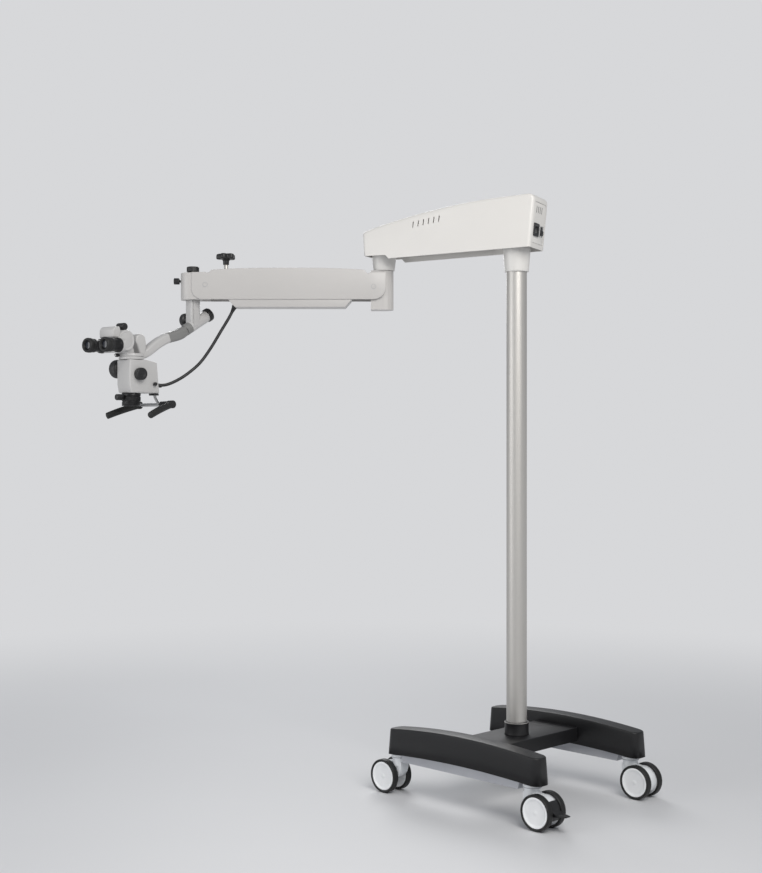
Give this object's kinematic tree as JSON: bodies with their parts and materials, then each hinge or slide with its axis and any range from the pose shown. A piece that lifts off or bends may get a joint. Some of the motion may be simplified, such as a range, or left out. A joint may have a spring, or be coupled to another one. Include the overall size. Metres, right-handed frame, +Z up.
{
  "type": "surgical microscope",
  "caption": "Surgical microscope on a wheeled floor stand: column, turning upper arm, spring-balanced lower arm and a tilting microscope head.",
  "frame": {"origin": "on the floor under the middle of the whole object, as it stands in the picture", "axes": "+Z up; +X towards the back of the base, along its two legs; +Y across the base, away from the pictured side"},
  "size_m": [1.3422, 1.2153, 1.786],
  "materials": {
    "white_cover": "satin moulded, warm white",
    "white_cast": "cast and painted satin white",
    "black_cover": "matte moulded, black",
    "black_knob": "knurled or ribbed, black",
    "black_anodised": "anodised black",
    "rubber_black": "soft matte",
    "satin_tube": "satin, fine grain along the tube",
    "silver_beam": "silver-grey paint",
    "steel": "turned",
    "supply_case": "folded sheet",
    "wheel_white": "white disc with a black moulded-on tread",
    "caster_white": "moulded"
  },
  "bodies": {
    "stand": {"leg_cover_near": "black_cover", "leg_cover_far": "black_cover", "leg_beam_near": "silver_beam", "leg_beam_far": "silver_beam", "cross_beam": "silver_beam", "cross_cover": "black_cover", "foot_collar": "black_cover", "column_tube": "satin_tube", "column_spindle": "steel"},
    "rear_near_caster": {"rear_near_caster_fork": "caster_white"},
    "rear_near_wheel_left": {"rear_near_wheel_left": "wheel_white"},
    "rear_near_wheel_right": {"rear_near_wheel_right": "wheel_white"},
    "rear_near_brake_pedal": {"rear_near_brake_pedal": "black_knob"},
    "rear_far_caster": {"rear_far_caster_fork": "caster_white"},
    "rear_far_wheel_left": {"rear_far_wheel_left": "wheel_white"},
    "rear_far_wheel_right": {"rear_far_wheel_right": "wheel_white"},
    "front_near_caster": {"front_near_caster_fork": "caster_white"},
    "front_near_wheel_left": {"front_near_wheel_left": "wheel_white"},
    "front_near_wheel_right": {"front_near_wheel_right": "wheel_white"},
    "front_far_caster": {"front_far_caster_fork": "caster_white"},
    "front_far_wheel_left": {"front_far_wheel_left": "wheel_white"},
    "front_far_wheel_right": {"front_far_wheel_right": "wheel_white"},
    "front_far_brake_pedal": {"front_far_brake_pedal": "black_knob"},
    "upper_arm": {"upper_housing": "white_cover", "rear_panel": "white_cover", "power_inlet": "black_cover", "upper_arm_casting": "white_cast", "power_supply": "supply_case"},
    "power_switch": {"power_switch": "black_knob"},
    "lower_arm_base": {"rear_block": "white_cast"},
    "spring_arm": {"spring_arm_cover": "white_cast", "belly_pan": "white_cover", "light_engine": "black_cover", "gas_spring": "steel"},
    "lower_link": {"lower_link": "steel"},
    "front_block": {"front_block": "white_cast"},
    "lift_tension_knob": {"lift_tension_knob": "black_knob"},
    "post_clamp_screw": {"post_clamp_screw": "black_knob"},
    "post": {"swivel_post": "white_cast", "light_guide": "rubber_black"},
    "post_tension_knob": {"post_tension_knob": "black_knob"},
    "tilt_knob": {"tilt_knob": "black_knob"},
    "tilt_friction_knob": {"tilt_friction_knob": "black_knob"},
    "head": {"swan_arm": "white_cast", "head_body": "white_cast", "handle_bar": "steel"},
    "zoom_knob": {"zoom_knob": "black_knob"},
    "filter_knob": {"filter_knob": "black_knob"},
    "objective": {"objective": "black_anodised"},
    "focus_knob": {"focus_knob": "black_knob"},
    "handle_near": {"handle_near": "rubber_black"},
    "handle_far": {"handle_far": "rubber_black"},
    "light_lever": {"light_lever": "black_knob"},
    "binocular_base": {"binocular_mount": "white_cast"},
    "binocular_lock_screw": {"binocular_lock_screw": "black_knob"},
    "binocular_head": {"prism_housing": "white_cast"},
    "ocular_near": {"ocular_near": "rubber_black"},
    "ocular_far": {"ocular_far": "rubber_black"},
    "spacing_knob": {"spacing_knob": "black_knob"}
  },
  "joints": [
    {"name": "rear_near_caster_swivel", "type": "hinge", "parent": "stand", "child": "rear_near_caster", "pos_m": [0.5451, 0.1027, 0.118], "axis": [0, 0, 1], "continuous": true},
    {"name": "rear_near_wheel_left_spin", "type": "hinge", "parent": "rear_near_caster", "child": "rear_near_wheel_left", "pos_m": [0.5831, 0.1027, 0.05], "axis": [0, 1, 0], "continuous": true},
    {"name": "rear_near_wheel_right_spin", "type": "hinge", "parent": "rear_near_caster", "child": "rear_near_wheel_right", "pos_m": [0.5831, 0.1027, 0.05], "axis": [0, 1, 0], "continuous": true},
    {"name": "rear_near_brake", "type": "hinge", "parent": "rear_near_caster", "child": "rear_near_brake_pedal", "pos_m": [0.5831, 0.1027, 0.05], "axis": [0, 1, 0], "range_deg": [0, 14]},
    {"name": "rear_far_caster_swivel", "type": "hinge", "parent": "stand", "child": "rear_far_caster", "pos_m": [0.5451, 0.5687, 0.118], "axis": [0, 0, 1], "continuous": true},
    {"name": "rear_far_wheel_left_spin", "type": "hinge", "parent": "rear_far_caster", "child": "rear_far_wheel_left", "pos_m": [0.5831, 0.5687, 0.05], "axis": [0, 1, 0], "continuous": true},
    {"name": "rear_far_wheel_right_spin", "type": "hinge", "parent": "rear_far_caster", "child": "rear_far_wheel_right", "pos_m": [0.5831, 0.5687, 0.05], "axis": [0, 1, 0], "continuous": true},
    {"name": "front_near_caster_swivel", "type": "hinge", "parent": "stand", "child": "front_near_caster", "pos_m": [0.0391, 0.1027, 0.118], "axis": [0, 0, 1], "continuous": true},
    {"name": "front_near_wheel_left_spin", "type": "hinge", "parent": "front_near_caster", "child": "front_near_wheel_left", "pos_m": [0.0011, 0.1027, 0.05], "axis": [0, 1, 0], "continuous": true},
    {"name": "front_near_wheel_right_spin", "type": "hinge", "parent": "front_near_caster", "child": "front_near_wheel_right", "pos_m": [0.0011, 0.1027, 0.05], "axis": [0, 1, 0], "continuous": true},
    {"name": "front_far_caster_swivel", "type": "hinge", "parent": "stand", "child": "front_far_caster", "pos_m": [0.0391, 0.5687, 0.118], "axis": [0, 0, 1], "continuous": true},
    {"name": "front_far_wheel_left_spin", "type": "hinge", "parent": "front_far_caster", "child": "front_far_wheel_left", "pos_m": [0.0011, 0.5687, 0.05], "axis": [0, 1, 0], "continuous": true},
    {"name": "front_far_wheel_right_spin", "type": "hinge", "parent": "front_far_caster", "child": "front_far_wheel_right", "pos_m": [0.0011, 0.5687, 0.05], "axis": [0, 1, 0], "continuous": true},
    {"name": "front_far_brake", "type": "hinge", "parent": "front_far_caster", "child": "front_far_brake_pedal", "pos_m": [0.0011, 0.5687, 0.05], "axis": [0, -1, 0], "range_deg": [0, 14]},
    {"name": "upper_arm_swivel", "type": "hinge", "parent": "stand", "child": "upper_arm", "pos_m": [0.2991, 0.3357, 1.6], "axis": [0, 0, 1], "range_deg": [-150, 150]},
    {"name": "power_switch_rock", "type": "hinge", "parent": "upper_arm", "child": "power_switch", "pos_m": [0.35705, 0.37556, 1.68229], "axis": [-0.309, 0.9511, 0], "range_deg": [0, 12]},
    {"name": "lower_arm_swivel", "type": "hinge", "parent": "upper_arm", "child": "lower_arm_base", "pos_m": [-0.12412, 0.19819, 1.6], "axis": [0, 0, 1], "range_deg": [-142, 88]},
    {"name": "spring_arm_lift", "type": "hinge", "parent": "lower_arm_base", "child": "spring_arm", "pos_m": [-0.14696, 0.17535, 1.538], "axis": [-0.7071, 0.7071, 0], "range_deg": [-35, 18]},
    {"name": "lower_link_pivot", "type": "hinge", "parent": "lower_arm_base", "child": "lower_link", "pos_m": [-0.14696, 0.17535, 1.508], "axis": [-0.7071, 0.7071, 0], "range_deg": [-35, 18]},
    {"name": "front_block_level", "type": "hinge", "parent": "spring_arm", "child": "front_block", "pos_m": [-0.51819, -0.19588, 1.544], "axis": [-0.7071, 0.7071, 0], "range_deg": [-18, 35]},
    {"name": "lift_tension_turn", "type": "hinge", "parent": "spring_arm", "child": "lift_tension_knob", "pos_m": [-0.47485, -0.15254, 1.6], "axis": [0, 0, 1], "continuous": true},
    {"name": "post_clamp_turn", "type": "hinge", "parent": "front_block", "child": "post_clamp_screw", "pos_m": [-0.54838, -0.22608, 1.558], "axis": [-0.7071, -0.7071, 0], "continuous": true},
    {"name": "post_swivel", "type": "hinge", "parent": "front_block", "child": "post", "pos_m": [-0.54838, -0.22608, 1.55], "axis": [0, 0, 1], "range_deg": [-170, 80], "deforming": ["light_guide"]},
    {"name": "post_tension_turn", "type": "hinge", "parent": "post", "child": "post_tension_knob", "pos_m": [-0.54838, -0.22608, 1.6], "axis": [0, 0, 1], "continuous": true},
    {"name": "tilt_knob_turn", "type": "hinge", "parent": "post", "child": "tilt_knob", "pos_m": [-0.54838, -0.23968, 1.4125], "axis": [0, 0.8572, 0.515], "continuous": true},
    {"name": "tilt_friction_turn", "type": "hinge", "parent": "post", "child": "tilt_friction_knob", "pos_m": [-0.54838, -0.22608, 1.438], "axis": [1, 0, 0], "continuous": true},
    {"name": "head_tilt", "type": "hinge", "parent": "post", "child": "head", "pos_m": [-0.54838, -0.23968, 1.4125], "axis": [0, 0.8572, 0.515], "range_deg": [-40, 40]},
    {"name": "zoom_turn", "type": "hinge", "parent": "head", "child": "zoom_knob", "pos_m": [-0.51388, -0.45408, 1.259], "axis": [1, 0, 0], "continuous": true},
    {"name": "filter_turn", "type": "hinge", "parent": "head", "child": "filter_knob", "pos_m": [-0.58288, -0.46808, 1.276], "axis": [-1, 0, 0], "continuous": true},
    {"name": "objective_focus", "type": "slide", "parent": "head", "child": "objective", "axis": [0, 0, -1], "range_m": [0, 0.006]},
    {"name": "focus_turn", "type": "hinge", "parent": "objective", "child": "focus_knob", "pos_m": [-0.54838, -0.45808, 1.189], "axis": [0, -1, 0], "range_deg": [0, 271]},
    {"name": "handle_near_tilt", "type": "hinge", "parent": "head", "child": "handle_near", "pos_m": [-0.54838, -0.37308, 1.168], "axis": [1, 0, 0], "range_deg": [-35, 35]},
    {"name": "handle_far_tilt", "type": "hinge", "parent": "head", "child": "handle_far", "pos_m": [-0.54838, -0.37308, 1.168], "axis": [1, 0, 0], "range_deg": [-35, 35]},
    {"name": "light_lever_turn", "type": "hinge", "parent": "head", "child": "light_lever", "pos_m": [-0.51388, -0.39908, 1.23], "axis": [1, 0, 0], "range_deg": [-60, 60]},
    {"name": "binocular_swivel", "type": "hinge", "parent": "head", "child": "binocular_base", "pos_m": [-0.54838, -0.45808, 1.316], "axis": [0, 0, 1], "range_deg": [-33, 17]},
    {"name": "lock_screw_turn", "type": "hinge", "parent": "binocular_base", "child": "binocular_lock_screw", "pos_m": [-0.55502, -0.49708, 1.3152], "axis": [0.1392, -0.9903, 0], "continuous": true},
    {"name": "binocular_tilt", "type": "hinge", "parent": "binocular_base", "child": "binocular_head", "pos_m": [-0.54177, -0.50511, 1.358], "axis": [-0.9903, -0.1392, 0], "range_deg": [-10, 45]},
    {"name": "ocular_near_slide", "type": "slide", "parent": "binocular_head", "child": "ocular_near", "axis": [0.9903, 0.1392, 0], "range_m": [-0.011, 0.001]},
    {"name": "ocular_far_slide", "type": "slide", "parent": "binocular_head", "child": "ocular_far", "axis": [-0.9903, -0.1392, 0], "range_m": [-0.011, 0.001]},
    {"name": "spacing_turn", "type": "hinge", "parent": "binocular_head", "child": "spacing_knob", "pos_m": [-0.53865, -0.49862, 1.3999], "axis": [0.9903, 0.1392, 0], "range_deg": [-180.5, 17]}
  ],
  "couplings": [
    {"joint": "lower_link_pivot", "follows": "spring_arm_lift", "ratio": 1},
    {"joint": "front_block_level", "follows": "spring_arm_lift", "ratio": -1},
    {"joint": "ocular_far_slide", "follows": "ocular_near_slide", "ratio": 1},
    {"joint": "spacing_turn", "follows": "ocular_near_slide", "rad_per_m": 285.6},
    {"joint": "focus_turn", "follows": "objective_focus", "rad_per_m": 785.4}
  ]
}
